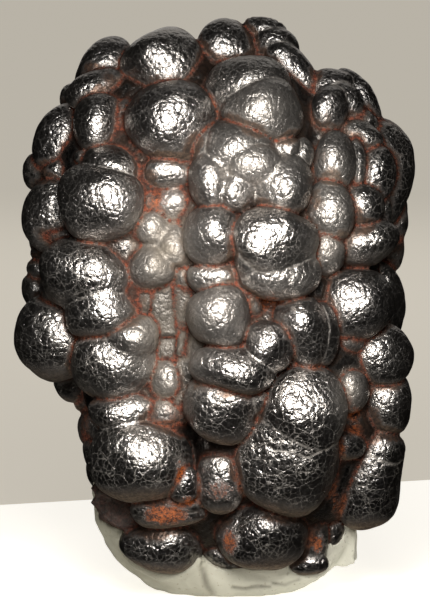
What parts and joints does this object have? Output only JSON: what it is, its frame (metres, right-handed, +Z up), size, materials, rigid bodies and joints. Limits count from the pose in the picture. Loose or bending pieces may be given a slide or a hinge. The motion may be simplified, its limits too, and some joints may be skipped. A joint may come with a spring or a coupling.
{
  "type": "hematite specimen",
  "caption": "Upright mass of dark, glossy, kidney-shaped iron-ore lumps with a broken back, pressed into a rounded pad of mounting putty that it stands on.",
  "frame": {"origin": "middle of the putty's flat underside", "axes": "+Z up, -Y out of the stone's lumpy face towards the viewer, +X to the viewer's right"},
  "size_m": [0.101, 0.0712, 0.1419],
  "materials": {
    "hematite": "glossy black to steel-grey natural mineral skin, crackled, with brick-red rust in the creases",
    "putty": "matt pale grey-green putty, hand pressed"
  },
  "bodies": {
    "root": {"hematite": "hematite", "mounting_putty": "putty"}
  },
  "joints": []
}
